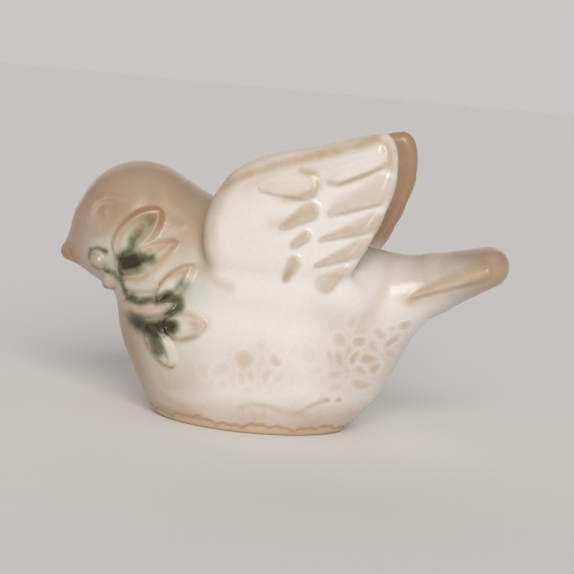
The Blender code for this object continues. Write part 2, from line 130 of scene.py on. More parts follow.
# Grooves and ridges on both sides: the points as (x, z), half width, height
HEAD_LINES = [
    ([(-29.0, 31.9), (-29.0, 33.4), (-28.4, 34.9), (-26.6, 36.0), (-24.6, 36.3), (-22.6, 35.6)], 0.5, 0.3),
    ([(-27.6, 32.4), (-27.7, 33.8), (-26.8, 34.9), (-25.4, 35.3), (-23.8, 34.8)], 0.4, -0.2),
    ([(-34.5, 26.4), (-34.2, 25.2), (-33.4, 24.3), (-31.8, 23.5)], 0.4, -0.4),
    ([(-28.2, 29.6), (-26.2, 30.1), (-24.8, 31.0), (-24.0, 31.9)], 0.6, 0.15),
    ([(-17.6, 38.2), (-14.0, 34.8), (-11.2, 32.4)], 1.2, 0.12),
]
TAIL_LINES = [
    ([(28.0, 30.0), (33.0, 31.6), (38.5, 32.8)], 0.9, -0.15),
    ([(34.0, 27.2), (37.0, 28.2), (40.0, 29.4)], 0.8, -0.15),
]
EYE = (-26.1, 33.6)
EYE_DOT = (0.5, 0.24)
EYE_RING = (1.3, 0.5, 0.08)
EYE_TAN = 0.6

# Leaves of the sprig, on the near side only: base and tip (x, z), half width, height, roundness of the ends,
# how far the middle is dished
LEAVES = [
    ((-23.4, 26.6), (-16.7, 35.0), 3.0, 1.1, 0.45, 0.45),
    ((-22.8, 23.9), (-13.0, 30.0), 2.1, 1.05, 0.55, 0.4),
    ((-22.6, 21.6), (-14.2, 22.6), 1.5, 0.6, 0.6, 0.0),
    ((-14.9, 19.8), (-9.6, 26.6), 2.2, 0.95, 0.5, 0.5),
    ((-21.8, 18.1), (-11.8, 19.3), 1.8, 1.2, 0.35, 0.0),
    ((-13.4, 16.2), (-6.2, 17.2), 2.4, 1.0, 0.45, 0.35),
    ((-16.6, 16.0), (-11.3, 9.6), 2.3, 0.95, 0.5, 0.4),
]
LEAF_RIM = 0.9
STEM = [(-23.8, 27.4), (-22.9, 23.0), (-21.6, 20.6), (-18.6, 17.4), (-15.4, 15.8)]
STEM_SIZE = (0.6, 0.4)
BERRIES = [((-27.0, 25.2), (1.6, 1.6, 1.7)), ((-25.6, 21.7), (1.3, 1.3, 1.7))]
BERRY_BLEND = 0.4

# The lace pressed into the belly on both sides, cell by cell: place (x, z), half width and height,
# tilt in degrees, thinness of the glaze in it
LACE = [
    ((0.6, 12.6), (1.4, 1.4), 0, 0.28),
    ((5.7, 12.9), (1.1, 0.8), 10, 0.32),
    ((3.2, 15.2), (0.8, 1.0), 0, 0.12),
    ((0.2, 9.6), (0.5, 0.9), 10, 0.16),
    ((1.9, 9.7), (0.6, 1.0), 0, 0.24),
    ((4.6, 10.3), (0.45, 1.0), -8, 0.24),
    ((6.4, 9.9), (0.6, 0.9), -20, 0.16),
    ((1.4, 7.3), (0.6, 0.3), 0, 0.18),
    ((4.9, 7.6), (0.5, 0.3), 0, 0.18),
    ((-3.4, 10.4), (1.3, 1.2), 0, 0.12),
    ((-2.6, 7.6), (0.8, 0.7), 0, 0.12),
    ((-6.0, 9.8), (0.9, 1.1), 0, 0.1),
    ((10.7, 14.5), (1.2, 1.2), 0, 0.1),
    ((12.4, 11.6), (0.8, 0.8), 0, 0.08),
    ((8.4, 14.6), (0.8, 1.0), 0, 0.06),
    ((15.2, 17.0), (1.0, 1.0), 0, 0.24),
    ((18.6, 17.0), (1.1, 0.9), 0, 0.34),
    ((20.7, 16.2), (0.7, 0.7), 0, 0.25),
    ((21.4, 18.4), (0.9, 0.5), -25, 0.4),
    ((23.4, 17.1), (0.6, 1.1), -35, 0.45),
    ((25.3, 19.6), (0.9, 0.8), 0, 0.55),
    ((23.4, 19.6), (0.6, 0.4), 0, 0.3),
    ((14.3, 14.0), (0.5, 1.0), 0, 0.18),
    ((15.9, 14.1), (0.5, 1.0), 5, 0.3),
    ((18.1, 14.0), (0.45, 1.0), 0, 0.6),
    ((20.0, 14.0), (1.1, 0.7), 0, 0.5),
    ((21.2, 12.5), (0.55, 0.9), 15, 0.55),
    ((23.2, 14.7), (0.5, 1.0), 30, 0.35),
    ((15.0, 11.4), (0.9, 0.6), 0, 0.22),
    ((17.0, 11.8), (0.6, 0.5), 0, 0.22),
    ((19.0, 12.0), (1.0, 0.5), -10, 0.32),
    ((15.6, 8.9), (0.9, 0.8), 0, 0.2),
    ((18.9, 9.6), (1.2, 0.8), -15, 0.35),
    ((17.3, 20.2), (0.5, 1.0), 0, 0.22),
    ((18.9, 21.0), (0.4, 0.9), 15, 0.22),
]
LACE_REACH = 3.0
LACE_WARP = 0.3
LACE_DEPTH = 0.14
LACE_NET = 0.06
LACE_TAN = 1.5

# The scrolls and the pits below the lace: points (x, z), half width, height, and place (x, z), radius, depth
SCROLLS = [
    ([(0.6, 3.6), (1.4, 4.8), (2.8, 5.6), (4.6, 5.6), (6.4, 5.0), (8.4, 4.4)], 0.6, 0.12),
    ([(2.6, 3.7), (3.4, 3.0), (4.8, 3.1), (5.2, 4.0), (4.2, 4.4)], 0.5, 0.1),
    ([(9.0, 4.2), (10.4, 5.0), (11.8, 6.2), (13.4, 6.8)], 0.6, 0.14),
    ([(9.8, 3.6), (10.8, 4.4), (12.2, 4.4), (12.4, 3.2), (11.2, 2.8)], 0.6, 0.12),
]
PITS = [((14.0, 6.4), 0.5, 0.2), ((15.8, 6.5), 0.45, 0.2)]
BELLY_TOP = (26.0, 22.0)

# Where the glaze broke thin on both sides, and one patch of painted shade on the wing's middle, as points (x,
# z), half width and strength
TAN_STROKES = [
    ([(-7.6, 27.0), (-8.8, 31.0), (-8.4, 35.0), (-6.8, 39.0), (-4.8, 41.6)], 2.6, 0.8),
    ([(-8.2, 33.0), (-6.6, 38.0), (-3.8, 41.4), (0.5, 43.6)], 3.2, 0.5),
    # Painted shade on the wing's middle
    ([(3.4, 35.0), (5.6, 35.2)], 1.2, 0.4),
    ([(-5.4, 40.2), (-1.6, 42.4), (3.4, 44.4), (9.0, 46.4), (14.0, 48.2), (18.6, 50.0)], 1.1, 0.92),
    ([(-3.0, 43.6), (2.0, 45.8), (10.0, 48.2), (17.0, 50.4)], 1.0, 0.35),
    ([(18.6, 50.0), (20.2, 49.6), (21.0, 48.2), (21.4, 45.8)], 0.8, 0.7),
    ([(-7.6, 27.2), (-6.7, 25.8), (-5.0, 24.6), (-3.0, 24.0)], 1.0, 0.5),
    ([(11.9, 42.6), (13.6, 42.4), (15.9, 43.4), (18.6, 44.9), (20.8, 46.5)], 0.5, 0.8),
    ([(12.2, 37.7), (14.8, 38.0), (17.9, 39.1), (20.6, 40.0)], 0.45, 0.45),
    ([(12.4, 38.2), (13.5, 39.9), (15.6, 41.3)], 0.5, 0.3),
    ([(5.0, 39.3), (7.4, 39.8), (9.2, 40.6), (10.0, 42.0), (9.2, 43.4), (7.4, 44.0)], 0.85, 0.85),
    ([(0.6, 40.4), (3.0, 39.6), (5.0, 39.3)], 0.9, 0.3),
    ([(12.6, 25.4), (14.6, 26.6), (16.4, 29.0)], 0.6, 0.35),
    ([(-17.4, 38.1), (-16.5, 36.7), (-14.9, 35.2), (-13.0, 34.1), (-11.0, 33.2)], 0.9, 0.5),
    ([(-11.5, 33.1), (-12.4, 31.8), (-13.9, 30.7)], 0.9, 0.4),
    ([(-29.0, 31.9), (-29.0, 33.4), (-28.4, 34.9), (-26.6, 36.0), (-24.6, 36.3), (-22.6, 35.6)], 0.5, 0.45),
    ([(-27.6, 32.4), (-27.7, 33.8), (-26.8, 34.9), (-25.4, 35.3), (-23.8, 34.8)], 0.35, 0.35),
    ([(-15.3, 8.9), (-13.9, 7.4), (-12.7, 5.9)], 0.8, 0.4),
    ([(25.8, 24.2), (28.4, 26.2), (30.8, 27.7), (33.3, 28.9), (36.4, 29.9)], 1.0, 0.8),
    ([(21.4, 29.0), (21.6, 26.9), (21.0, 24.6), (19.8, 22.0), (18.8, 19.6)], 1.2, 0.35),
    ([(34.0, 28.0), (37.2, 28.8), (40.4, 30.0)], 0.8, 0.6),
    ([(0.8, 4.6), (2.4, 5.4), (4.6, 5.3), (6.4, 4.9), (9.0, 3.9)], 0.5, 0.55),
    ([(2.8, 3.7), (3.6, 3.2), (4.8, 3.4), (4.6, 4.2)], 0.4, 0.5),
    ([(9.0, 4.0), (10.6, 4.8), (12.0, 5.9), (13.4, 6.6)], 0.45, 0.55),
    ([(14.0, 6.4), (14.0, 6.7)], 0.42, 0.8),
    ([(15.8, 6.5), (15.8, 6.8)], 0.4, 0.75),
    ([(-20.6, 18.4), (-17.3, 18.4), (-13.2, 19.0)], 1.6, 0.5),
]

# Where orange shows through, in the same way, and broad orange painted shade on the beak, mixed there with
# thin glaze, and along the left edges of forehead and breast
ORANGE_AND_SHADE_STROKES = [
    ([(-28.2, 29.6), (-26.2, 30.1), (-24.8, 31.0), (-24.0, 31.9)], 0.7, 0.45),
    # Beak: thin glaze and painted shade
    ([(-36.4, 25.8), (-34.4, 25.6)], 2.8, 0.85),
    ([(-33.6, 25.2), (-30.4, 23.8)], 1.0, 0.45),
    ([(-15.6, 5.2), (-12.0, 3.6), (-7.0, 2.6)], 1.0, 0.4),
    # Painted shade along the breast's lower left edge
    ([(-19.0, 17.0), (-19.0, 11.0), (-16.0, 5.0)], 4.5, 0.3),
    # Painted shade along the forehead's left edge
    ([(-33.0, 34.0), (-34.0, 28.0)], 4.0, 0.35),
    ([(38.0, 28.6), (40.6, 31.0)], 3.5, 0.35),
]

# Brown in the same way: where it shows through along the mouth line and the foot, brown at the tail's tip,
# and painted shade on the beak tip and along the left edges of forehead, throat and breast
BROWN_AND_SHADE_STROKES = [
    # Beak tip: thin glaze and painted shade
    ([(-36.6, 25.2), (-35.0, 25.0)], 2.8, 0.75),
    # Painted shade along the forehead's left edge
    ([(-34.6, 28.2), (-33.4, 31.5), (-32.0, 36.5)], 2.6, 0.34),
    ([(-34.5, 26.4), (-34.2, 25.2), (-33.4, 24.3), (-31.8, 23.5)], 0.35, 0.35),
    # Painted shade along the throat
    ([(-34.0, 23.8), (-29.5, 21.0), (-26.0, 17.0)], 1.4, 0.3),
    # Painted shade along the breast's lower left edge
    ([(-23.0, 16.0), (-21.2, 9.0), (-18.0, 4.0)], 3.2, 0.34),
    ([(-17.0, 2.4), (-12.0, 1.9), (-6.0, 1.7)], 0.6, 0.45),
    ([(40.6, 29.0), (41.0, 32.0)], 2.0, 0.25),
]

# The orange rims of the leaves, near side only, in the same way
LEAF_STROKES = [
    ([(-23.0, 27.8), (-22.9, 30.0), (-21.9, 32.5), (-20.1, 34.5), (-18.3, 35.4), (-16.6, 34.6),
      (-15.9, 32.8)], 0.75, 0.7),
    ([(-16.4, 32.0), (-18.0, 31.0), (-19.8, 29.2)], 0.35, 0.6),
    ([(-17.6, 27.9), (-15.6, 29.1), (-13.4, 29.9)], 0.8, 0.7),
    ([(-21.8, 23.1), (-19.0, 23.0), (-15.9, 25.7), (-14.2, 27.9), (-13.3, 29.6)], 0.75, 0.7),
    ([(-15.7, 21.1), (-15.0, 22.8), (-13.7, 24.3), (-11.9, 25.4), (-10.0, 26.0)], 0.75, 0.8),
    ([(-21.3, 19.2), (-21.0, 17.6), (-19.8, 16.2)], 0.6, 0.55),
    ([(-20.6, 18.2), (-17.3, 18.2), (-13.2, 18.8)], 1.4, 0.4),
    ([(-12.6, 17.9), (-10.8, 18.6), (-9.0, 18.5), (-6.8, 17.4), (-8.3, 15.2), (-10.6, 14.2),
      (-12.4, 14.3)], 0.7, 0.6),
    ([(-8.2, 17.2), (-6.8, 17.4)], 1.2, 0.7),
    ([(-17.2, 13.9), (-16.6, 11.9), (-15.0, 10.4), (-13.1, 9.8), (-11.4, 9.8)], 0.55, 0.75),
]

# Green pooled between the leaves, near side only: points (x, z), half width, strength
GREEN_POOLS = [
    ([(-18.0, 33.3), (-18.9, 32.2)], 1.1, 0.7),
    ([(-18.6, 32.6), (-20.4, 29.4), (-20.9, 27.4)], 1.3, 0.55),
    ([(-21.6, 25.9), (-20.2, 26.3)], 2.0, 1.15),
    ([(-20.2, 26.3), (-17.2, 26.9)], 1.3, 0.75),
    ([(-22.8, 25.4), (-22.5, 23.6), (-22.4, 21.8), (-21.4, 20.0), (-18.3, 19.6), (-15.1, 20.4)], 0.8, 0.75),
    ([(-14.8, 20.6), (-12.8, 21.2), (-11.5, 20.8), (-11.4, 19.4), (-12.6, 18.3)], 1.2, 0.85),
    ([(-11.5, 20.8), (-11.0, 23.4)], 1.5, 0.5),
    ([(-19.4, 16.4), (-17.2, 15.5), (-14.8, 15.3), (-12.4, 16.4)], 1.7, 1.2),
    ([(-15.4, 14.4), (-14.4, 12.0)], 1.7, 0.7),
    ([(-28.9, 25.4), (-28.6, 26.7), (-27.1, 27.3), (-25.5, 27.0)], 0.6, 0.6),
    ([(-25.9, 23.6), (-24.2, 23.4), (-23.2, 22.2)], 0.8, 0.55),
]

# Soft patches of mint around the sprig, near side only: centre (x, z), radii, strength
MINT_CLOUDS = [
    ((-20.0, 26.0), (6.0, 6.5), 0.9),
    ((-20.6, 31.5), (3.0, 3.5), 0.8),
    ((-9.6, 22.5), (3.4, 5.0), 0.75),
    ((-12.5, 14.5), (4.5, 5.5), 0.8),
    ((-26.4, 27.6), (3.6, 2.6), 0.4),
    ((-17.8, 21.6), (5.0, 2.4), 0.9),
]

# The warm base tone, partly a warmer glaze and partly painted shade, darker towards the head, the left end,
# the rump, the tail and the foot: strength, and where it sets in along x and along z. Every point lies beyond
# EVERYWHERE.
EVERYWHERE = (-99.0, -98.0)
WARM_AND_SHADE_SLOPES = [
    (1.0, (-10.0, -20.0), (20.0, 30.0)),
    (0.75, (-7.0, -12.0), (21.0, 29.0)),
    (0.95, (-12.0, -21.0), (28.0, 16.0)),
    (0.8, (-12.0, -24.0), EVERYWHERE),
    (0.95, (26.0, 40.0), EVERYWHERE),
    (0.55, (19.5, 28.0), (22.0, 26.0)),
    (0.6, EVERYWHERE, (9.0, 2.0)),
]
# Soft warm patches low on the flank, the belly and the breast, partly painted shade: centre (x, z), radii,
# strength
WARM_AND_SHADE_CLOUDS = [
    ((18.5, 14.5), (6.5, 6.5), 0.55),
    ((1.5, 10.5), (7.5, 4.5), 0.36),
    ((-10.0, 7.5), (7.0, 6.5), 0.5),
]

# Head, back and the wings' inner faces: where these upper parts set in, how warm they are, partly a warmer
# glaze and partly painted shade, and the brown painted shade on their sides away from the middle, chiefly the
# wings' inner faces
UPPER_LEVELS = (28.0, 34.0)
UPPER_WARM_AND_SHADE = 1.1
INNER_WING_PAINTED_SHADE = 0.65
INNER_WING_SIDE = (9.0, 11.0)

# The glaze's wavy lower end above the bare clay of the foot
FOOT_LINE_HEIGHT = 1.5
FOOT_LINE_WIDTH = 0.28
FOOT_LINE_BROWN = 0.8
FOOT_LINE_WAVES = [(0.26, 9, 0.7), (0.18, 23, 2.0), (0.14, 47, 0.0)]
CLAY_EDGE = (0.1, -0.15)

# The studio, in metres and degrees: each sun's direction, strength, spread and colour, the sky's strength low
# down and above with the levels between them, the floor, and the camera's azimuth, elevation and roll
KEY_SUN = ((0.28, -0.88, 0.44), 2.15, 35.0, (1.0, 0.985, 0.965))
REAR_SUN = ((-0.3, 0.9, 0.35), 0.5, 60.0, (1.0, 0.97, 0.94))
SKY_STRENGTH = (0.585, 0.24)
SKY_LEVELS = (0.06, 0.35)
SKY_COLOUR = (1.0, 0.98, 0.96, 1.0)
FLOOR_REACH = 20.0
FLOOR_COLOUR = (0.90, 0.89, 0.875, 1.0)
CAMERA_ANGLES = (10.0, 6.5, 5.3)
CAMERA_AIM = (0.00386, 0.0, 0.02329)
CAMERA_DISTANCE = 0.3
CAMERA_LENS = 111.0


def ease(start, end, value):
    """A smooth step from 0 at start to 1 at end."""
    t = np.clip((value - start) / (end - start), 0.0, 1.0)
    return t * t * (3.0 - 2.0 * t)


def aside(p, start, end):
    """0 along the dove's middle, rising to 1 towards both sides."""
    return ease(start, end, np.abs(p[:, 1]))


def join(a, b, blend):
    """Union of two distances with a fillet of the given size."""
    h = np.clip(0.5 + 0.5 * (b - a) / blend, 0.0, 1.0)
    return b + (a - b) * h - blend * h * (1.0 - h)


def ball(p, centre, radii):
    """Distance to an ellipsoid."""
    radii = np.array(radii)
    q = (p - np.array(centre)) / radii
    reach = np.linalg.norm(q, axis=1)
    slope = np.linalg.norm(q / radii, axis=1)
    return reach * (reach - 1.0) / np.maximum(slope, 1e-6)


def limb(p, start, end, radii, widening=(1.0, 1.0)):
    """Distance to a round-ended taper that may grow wider than it is deep."""
    start, end = np.array(start), np.array(end)
    axis = end - start
    t = np.clip(((p - start) @ axis) / (axis @ axis), 0.0, 1.0)
    q = p - start - t[:, None] * axis
    q[:, 1] /= widening[0] + (widening[1] - widening[0]) * t
    return np.linalg.norm(q, axis=1) - (radii[0] + (radii[1] - radii[0]) * t)


def cone(p, start, end, radii, widening):
    """Distance to a cone whose side runs on smoothly into its round tip."""
    start, end = np.array(start), np.array(end)
    length = np.linalg.norm(end - start)
    axis = (end - start) / length
    q = p - start
    along = q @ axis
    q = q - along[:, None] * axis
    q[:, 1] /= widening
    out = np.linalg.norm(q, axis=1)
    fall = (radii[0] - radii[1]) / length
    t = np.clip((along - out * fall / np.sqrt(1.0 - fall**2)) / length, 0.0, 1.0)
    return np.hypot(along - t * length, out) - (radii[0] + (radii[1] - radii[0]) * t)


def rounded_outline(points, steps=4):
    """A closed smooth curve through the points."""
    count = len(points)
    curve = []
    for i in range(count):
        before, here, after, beyond = (np.array(points[(i + k) % count]) for k in (-1, 0, 1, 2))
        for t in np.arange(steps) / steps:
            curve.append(0.5 * (2 * here + (after - before) * t
                                + (2 * before - 5 * here + 4 * after - beyond) * t**2
                                + (3 * here - before - 3 * after + beyond) * t**3))
    return np.array(curve)


WING_CURVE = rounded_outline(WING_OUTLINE)


def outline_distance(x, z, curve):
    """Signed distance in the side view to a closed curve, below zero inside it."""
    nearest = np.full(len(x), np.inf)
    inside = np.zeros(len(x), bool)
    for a, b in zip(curve, np.roll(curve, -1, axis=0)):
        edge = b - a
        t = np.clip(((x - a[0]) * edge[0] + (z - a[1]) * edge[1]) / (edge @ edge), 0.0, 1.0)
        nearest = np.minimum(nearest, (x - a[0] - t * edge[0])**2 + (z - a[1] - t * edge[1])**2)
        if a[1] != b[1]:
            crosses = (a[1] > z) != (b[1] > z)
            inside ^= crosses & (x < edge[0] * (z - a[1]) / edge[1] + a[0])
    nearest = np.sqrt(nearest)
    return np.where(inside, -nearest, nearest)


def wing_terms(p):
    """For each point: distance to the wing's outline, half thickness and place of the outer face."""
    x, z = p[:, 0], p[:, 2]
    outline = np.full(len(p), 6.0)
    near = (np.abs(p[:, 1]) > 7.0) & (z > 15.0) & (x > -13.0) & (x < 27.0)
    outline[near] = outline_distance(x[near], z[near], WING_CURVE)
    across = (x - WING_ROOT[0]) * WING_ACROSS[0] + (z - WING_ROOT[1]) * WING_ACROSS[1]
    shoulder = np.exp(-((x - WING_SHOULDER[0])**2 + (z - WING_SHOULDER[1])**2) / WING_SHOULDER_SIZE**2)
    half = np.clip(WING_HALF_AT_FRONT - WING_TAPER * (across - WING_FRONT), *WING_HALF_THICKNESS)
    half = half + WING_SHOULDER_HALF * shoulder
    above = z - WING_SINK_LEVEL
    face = WING_FACE + WING_LEAN * above - WING_SINK * np.minimum(above, 0.0)**2
    face = face + WING_SHOULDER_SWELL * shoulder
    return outline, half, face, across


def wing(p):
    """Distance to the two wings, upright round-edged plates that sink into the flanks below."""
    outline, half, face, _ = wing_terms(p)
    u = outline + half
    v = np.abs(np.abs(p[:, 1]) - (face - half))
    return np.minimum(np.maximum(u, v), 0.0) + np.hypot(np.maximum(u, 0.0), v) - half


def belly(p):
    """Distance to the body, deeper below its middle than above."""
    q = p.copy()
    below = p[:, 2] < BODY_CENTRE[2]
    q[below, 2] = BODY_CENTRE[2] + (p[below, 2] - BODY_CENTRE[2]) * BODY_RADII[2] / BODY_DEPTH
    return ball(q, BODY_CENTRE, BODY_RADII)


def smooth_form(p):
    """Distance to the dove without its carving, open to below the foot."""
    beak = cone(p, BEAK_ROOT, BEAK_TIP, BEAK_RADII, BEAK_WIDENING)
    head = join(ball(p, HEAD_CENTRE, HEAD_RADII), beak, BEAK_BLEND)
    neck = limb(p, HEAD_CENTRE, NECK_END, NECK_RADII)
    rump = limb(p, RUMP_START, TAIL_START, RUMP_RADII, TAIL_WIDENING[:2])
    tail = limb(p, TAIL_START, TAIL_END, TAIL_RADII, TAIL_WIDENING[1:])
    form = join(belly(p), ball(p, FOOT_CENTRE, FOOT_RADII), FOOT_BLEND)
    form = join(form, ball(p, BREAST_CENTRE, BREAST_RADII), BREAST_BLEND)
    form = join(form, neck, NECK_BLEND)
    form = join(form, head, HEAD_BLEND)
    form = join(form, join(rump, tail, TAIL_BLEND), RUMP_BLEND)
    one_side = np.column_stack([p[:, 0], np.abs(p[:, 1]), p[:, 2]])
    form = join(form, ball(one_side, THIGH_CENTRE, THIGH_RADII), THIGH_BLEND)
    lower = ease(*WING_BLEND_LEVELS, p[:, 2])
    return join(form, wing(p), WING_BLEND[0] + (WING_BLEND[1] - WING_BLEND[0]) * lower)


def feather(p, start, end, start_half, end_half):
    """How far one feather has risen, from 0 to 1 at its lower edge, and the distance to its outline."""
    start, end = np.array(start), np.array(end)
    length = np.linalg.norm(end - start)
    direction = (end - start) / length
    q = p[:, [0, 2]] - start
    along = q @ direction
    lower = q[:, 0] * direction[1] - q[:, 1] * direction[0]
    t = np.clip(along / length, 0.0, 1.0)
    half = start_half + (end_half - start_half) * t
    edge = np.hypot(along - t * length, lower) - half
    ramp = 0.15 + 0.85 * ease(-1.1, 0.5, lower / half)
    return ramp * ease(0.45, -0.5, edge) * ease(-0.5, 0.25, along / length), edge


def feather_tan(p, start, end, start_half, end_half, thin):
    """How thin the glaze is on one feather, thinnest along its lower edge."""
    rise, edge = feather(p, start, end, start_half, end_half)
    return thin * ease(0.4, -0.6, edge) * (0.6 + 0.45 * rise)


def stroke(p, points):
    """For each point in the side view: distance to the line through the points, and place along it."""
    q = p[:, [0, 2]]
    points = np.array(points)
    count = len(points) - 1
    nearest = np.full(len(p), np.inf)
    along = np.zeros(len(p))
    for i in range(count):
        edge = points[i + 1] - points[i]
        t = np.clip(((q - points[i]) @ edge) / (edge @ edge), 0.0, 1.0)
        gap = np.linalg.norm(q - points[i] - t[:, None] * edge, axis=1)
        along = np.where(gap < nearest, (i + t) / count, along)
        nearest = np.minimum(nearest, gap)
    return nearest, along


def line_relief(p, points, half_width, height):
    """Height of a ridge, or depth of a groove, that follows the points and fades at both ends."""
    nearest, along = stroke(p, points)
    return height * np.exp(-(nearest / half_width)**2) * ease(0.0, 0.2, along) * ease(1.0, 0.8, along)


def wing_face(p):
    """1 on the wings' outer faces, 0 elsewhere."""
    _, half, face, _ = wing_terms(p)
    beyond = np.abs(p[:, 1]) - (face - half)
    return ease(-FACE_EDGE, FACE_EDGE, beyond) * ease(*WING_CARVING_FOOT, p[:, 2])


def wing_carving(p):
    """Feathers and the raised front rim, on the outer faces only."""
    outline, _, _, across = wing_terms(p)
    height = np.max([row[4] * feather(p, *row[:4])[0] for row in FEATHERS], axis=0)
    rim = WING_RIM_HEIGHT * np.exp(-((outline + WING_RIM_INSET) / WING_RIM_WIDTH)**2)
    rim = rim * ease(*WING_RIM_REAR_END, across) * ease(*WING_RIM_LOWER_END, p[:, 2])
    height = height * (1.0 - WING_EDGE_FADE * ease(-1.8, -0.6, outline))
    return np.maximum(height, rim) * wing_face(p)


def head_carving(p):
    """Eyes, lids, the line of the beak and the creases of cheek and nape."""
    reach = np.hypot(p[:, 0] - EYE[0], p[:, 2] - EYE[1])
    ring, ring_width, ring_depth = EYE_RING
    height = EYE_DOT[1] * np.exp(-(reach / EYE_DOT[0])**2)
    height -= ring_depth * np.exp(-((reach - ring) / ring_width)**2)
    height += np.sum([line_relief(p, *row) for row in HEAD_LINES], axis=0)
    return height * aside(p, 1.0, 3.0)


def tail_carving(p):
    """The feathers along the tail and the grooves above them."""
    height = np.max([row[4] * feather(p, *row[:4])[0] for row in TAIL_FEATHERS], axis=0)
    height = height + np.sum([line_relief(p, *row) for row in TAIL_LINES], axis=0)
    return height * aside(p, 2.0, 4.0)


def lace(p):
    """Height of the lace, and how far each point lies in a cell of it or on its net."""
    fill = np.zeros(len(p))
    net = np.zeros(len(p))
    for place, (half_width, half_height), tilt, thin in LACE:
        near = np.flatnonzero(np.abs(p[:, [0, 2]] - place).max(axis=1) < LACE_REACH)
        x, z = p[near, 0], p[near, 2]
        warped = [x + LACE_WARP * np.sin(1.2 * z + 0.6 * x), z + LACE_WARP * np.sin(1.3 * x - 0.5 * z)]
        offset = np.stack(warped, axis=1) - place
        turn = np.radians(tilt)
        u = (offset[:, 0] * np.cos(turn) + offset[:, 1] * np.sin(turn)) / half_width
        v = (offset[:, 1] * np.cos(turn) - offset[:, 0] * np.sin(turn)) / half_height
        reach = np.hypot(u, v)
        outside = (reach - 1.0) * min(half_width, half_height)
        fill[near] = np.maximum(fill[near], thin * ease(0.6, -0.8, outside))
        net[near] = np.maximum(net[near], (0.3 + thin) * np.exp(-((outside - 0.3) / 0.28)**2))
    side = aside(p, 2.0, 5.0)
    return (LACE_NET * net - LACE_DEPTH * fill) * side, fill * side, net * side


def belly_carving(p):
    """The lace, and the scrolls and pits below it."""
    height = lace(p)[0]
    side = aside(p, 2.0, 5.0)
    for row in SCROLLS:
        height = height + line_relief(p, *row) * side
    for centre, radius, depth in PITS:
        reach = np.hypot(p[:, 0] - centre[0], p[:, 2] - centre[1])
        height = height - depth * np.exp(-(reach / radius)**2) * side
    return height * ease(*BELLY_TOP, p[:, 2])


def point_on_near_side(x, z):
    """The point of the smooth form's near side at a place in the side view."""
    outside, inside = -26.0, 0.0
    for _ in range(30):
        middle = 0.5 * (outside + inside)
        if smooth_form(np.array([[x, middle, z]]))[0] > 0.0:
            outside = middle
        else:
            inside = middle
    return np.array([x, inside, z])


def slope(form, p, step=0.02):
    """The form's value and gradient at each point."""
    value = form(p)
    gradient = np.stack([form(p + offset) - value for offset in np.eye(3) * step], axis=1) / step
    return value, gradient


def leaf_axes(base, tip):
    """A leaf's base point, its middle, and its directions along, across and out of the surface."""
    start = point_on_near_side(*base)
    end = point_on_near_side(*tip)
    middle = point_on_near_side(0.5 * (base[0] + tip[0]), 0.5 * (base[1] + tip[1]))
    out = slope(smooth_form, middle[None])[1][0]
    out /= np.linalg.norm(out)
    across = np.cross(out, end - start)
    return start, middle, end - start, across / np.linalg.norm(across), out


LEAF_AXES = [leaf_axes(base, tip) for base, tip, *_ in LEAVES]
BERRY_CENTRES = [point_on_near_side(*place) for place, _ in BERRIES]


def leaf(p, axes, half_width, height, roundness, dish):
    """Height of one leaf, which is dished inside its rim, its pad, and how near each point is to the rim."""
    start, middle, along, across, out = axes
    t = ((p - start) @ along) / (along @ along)
    side = (p - start) @ across
    half = half_width * np.sin(np.pi * np.clip(t, 0.0, 1.0)**0.85)**roundness
    inset = half - np.abs(side)
    near = (np.abs((p - middle) @ out) < 6.0) & (t > 0.0) & (t < 1.0)
    pad = ease(-0.4, LEAF_RIM, inset) * near
    hollow = dish * ease(LEAF_RIM - 0.1, LEAF_RIM + 1.1, inset) * ease(0.97, 0.7, t)
    edge = np.maximum(np.exp(-((inset - 0.5) / 0.5)**2), ease(0.8, 0.95, t)) * near
    return height * pad * (1.0 - hollow), pad, edge * pad


def near_side(p):
    """1 on the near side, where the sprig lies, and 0 on the far one."""
    return ease(1.0, -2.0, p[:, 1])


def sprig_carving(p):
    """Leaves and stem on the near side of throat and breast."""
    height = line_relief(p, STEM, *STEM_SIZE)
    for row, axes in zip(LEAVES, LEAF_AXES):
        height = np.maximum(height, leaf(p, axes, *row[2:])[0])
    return height * near_side(p)


def only_where(p, where, carving):
    """The carving's height at the points where it lies, and 0 at the others."""
    height = np.zeros(len(p))
    height[where] = carving(p[where])
    return height


def carved_form(p):
    """Distance to the finished dove with its flat foot and softly rounded rim."""
    x, y, z = p.T
    form = smooth_form(p)
    form = form - only_where(p, (z > 21.0) & (np.abs(x - 7.0) < 18.0) & (np.abs(y) > 8.0), wing_carving)
    form = form - only_where(p, (x < -8.0) & (z > 20.0), head_carving)
    form = form - only_where(p, x > 8.0, tail_carving)
    form = form - only_where(p, (x < -3.0) & (y < 1.5), sprig_carving)
    form = form - only_where(p, z < 26.5, belly_carving)
    for centre, (_, radii) in zip(BERRY_CENTRES, BERRIES):
        form = join(form, ball(p, centre, radii), BERRY_BLEND)
    return -join(-form, p[:, 2], RIM_ROUNDING)


def apply_modifiers(piece):
    """Replace the piece's mesh by its evaluated one."""
    bpy.context.view_layer.update()
    result = bpy.data.meshes.new_from_object(piece.evaluated_get(bpy.context.evaluated_depsgraph_get()))
    old = piece.data
    piece.modifiers.clear()
    piece.data = result
    bpy.data.meshes.remove(old)


def remesh(piece, voxel):
    """Give the piece one even skin."""
    modifier = piece.modifiers.new("skin", "REMESH")
    modifier.mode = "VOXEL"
    modifier.voxel_size = voxel
    apply_modifiers(piece)


def figure_points(mesh):
    """The mesh's vertices in figure units."""
    points = np.empty(len(mesh.vertices) * 3, np.float32)
    mesh.vertices.foreach_get("co", points)
    return points.reshape(-1, 3).astype(float) / UNIT


